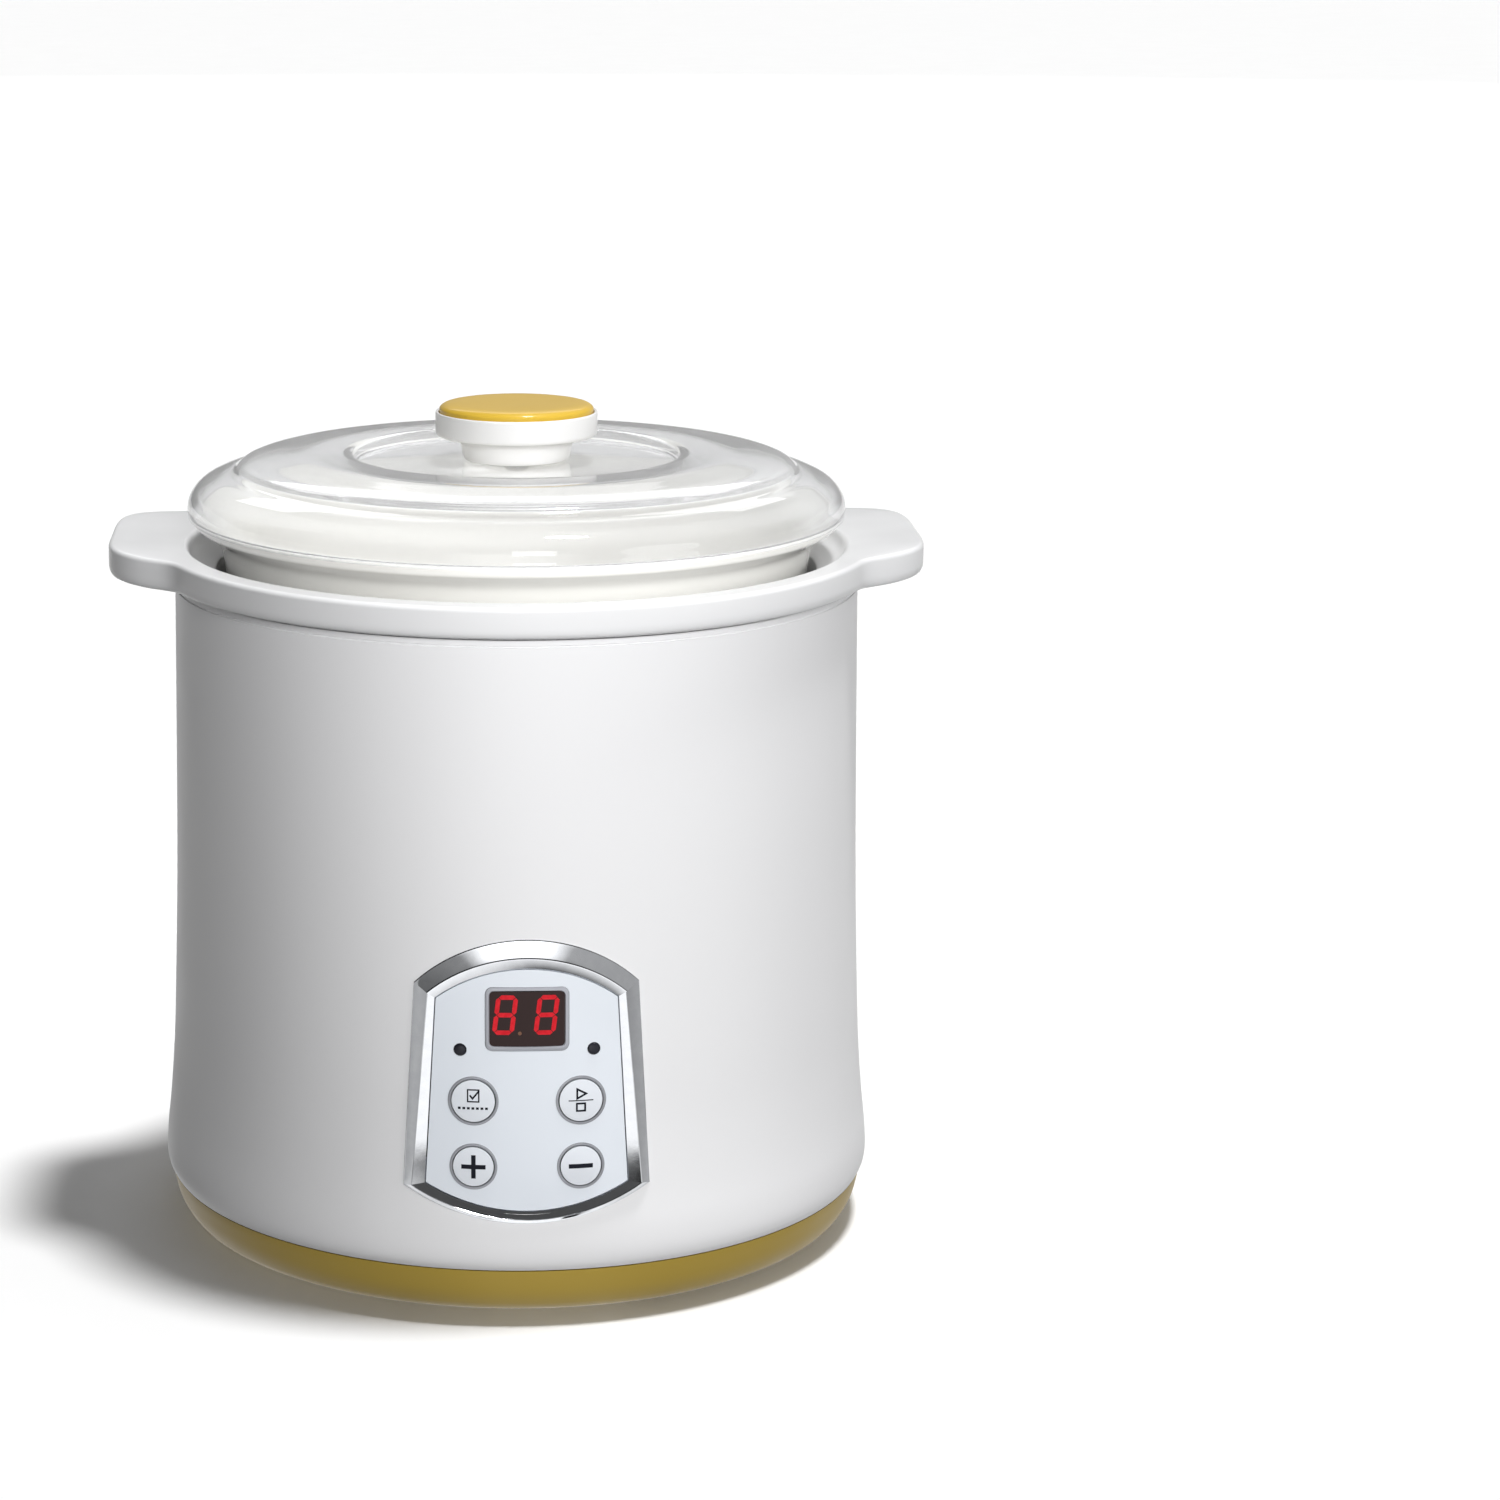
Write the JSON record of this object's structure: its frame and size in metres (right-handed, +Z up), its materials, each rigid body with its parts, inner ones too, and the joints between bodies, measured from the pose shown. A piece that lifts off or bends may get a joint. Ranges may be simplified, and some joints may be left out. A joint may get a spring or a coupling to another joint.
{
  "type": "yogurt maker",
  "caption": "Countertop yogurt maker: round heated housing with eared collar, lift-out inner pot, clear lid with knob, and a front panel with display and push keys.",
  "frame": {"origin": "on the table surface under the middle of the base, on the axis of the round housing", "axes": "+Z up, -Y towards the front (the control panel), +X to the right of someone facing the panel"},
  "size_m": [0.248, 0.22, 0.255],
  "materials": {
    "white_plastic": "gloss",
    "gold_base": "satin",
    "gold_inlay": "gloss",
    "cream_pot": "gloss",
    "clear_plastic": "clear gloss",
    "panel_white": "gloss",
    "chrome": "polished",
    "dark_lens": "gloss",
    "steel": "satin",
    "aluminium": "satin",
    "heater_foil": "foil",
    "brass": "polished",
    "rubber": "matt",
    "black_plastic": "matt",
    "circuit_board": "satin",
    "felt": "matt",
    "red_insulation": "satin",
    "blue_insulation": "satin",
    "yellow_tape": "satin"
  },
  "bodies": {
    "housing": {"body_shell": "white_plastic", "base_housing": "gold_base", "top_flange": "white_plastic", "heating_well": "aluminium", "heater_band": "heater_foil", "heater_plate": "heater_foil", "insulation_wrap": "felt", "temperature_sensor": "steel", "thermal_fuse": "steel", "panel_bezel": "chrome", "panel_face": "panel_white", "display_window": "dark_lens", "display_module": "black_plastic", "led_left": "dark_lens", "led_right": "dark_lens", "control_board": "circuit_board", "board_bracket": "white_plastic", "board_screw": "steel", "power_board": "circuit_board", "transformer": "yellow_tape", "relay": "black_plastic", "capacitor": "blue_insulation", "power_inlet": "black_plastic", "inlet_pin_left": "brass", "inlet_pin_right": "brass", "mains_lead_live": "red_insulation", "mains_lead_neutral": "blue_insulation", "heater_lead_1": "red_insulation", "heater_lead_2": "blue_insulation", "signal_lead": "black_plastic", "foot_1": "rubber", "base_screw_1": "steel", "tact_switch_1": "black_plastic", "power_board_screw_1": "steel", "foot_2": "rubber", "base_screw_2": "steel", "tact_switch_2": "black_plastic", "power_board_screw_2": "steel", "foot_3": "rubber", "base_screw_3": "steel", "tact_switch_3": "black_plastic", "power_board_screw_3": "steel", "foot_4": "rubber", "base_screw_4": "steel", "tact_switch_4": "black_plastic", "power_board_screw_4": "steel"},
    "pot": {"inner_pot": "cream_pot"},
    "lid": {"lid_shell": "clear_plastic", "knob_body": "white_plastic", "knob_inlay": "gold_inlay", "knob_screw": "steel", "knob_washer": "steel"},
    "function_key": {"button_function": "panel_white"},
    "start_key": {"button_start": "panel_white"},
    "plus_key": {"button_plus": "panel_white"},
    "minus_key": {"button_minus": "panel_white"}
  },
  "joints": [
    {"name": "pot_lift", "type": "slide", "parent": "housing", "child": "pot", "axis": [0, 0, 1], "range_m": [0, 0.175]},
    {"name": "lid_lift", "type": "slide", "parent": "pot", "child": "lid", "axis": [0, 0, 1], "range_m": [0, 0.08]},
    {"name": "function_press", "type": "slide", "parent": "housing", "child": "function_key", "axis": [0, 1, 0], "range_m": [0, 0.0006], "stiffness_N_per_m": 400, "springref_m": -0.0015},
    {"name": "start_press", "type": "slide", "parent": "housing", "child": "start_key", "axis": [0, 1, 0], "range_m": [0, 0.0006], "stiffness_N_per_m": 400, "springref_m": -0.0015},
    {"name": "plus_press", "type": "slide", "parent": "housing", "child": "plus_key", "axis": [0, 1, 0], "range_m": [0, 0.0006], "stiffness_N_per_m": 400, "springref_m": -0.0015},
    {"name": "minus_press", "type": "slide", "parent": "housing", "child": "minus_key", "axis": [0, 1, 0], "range_m": [0, 0.0006], "stiffness_N_per_m": 400, "springref_m": -0.0015}
  ]
}
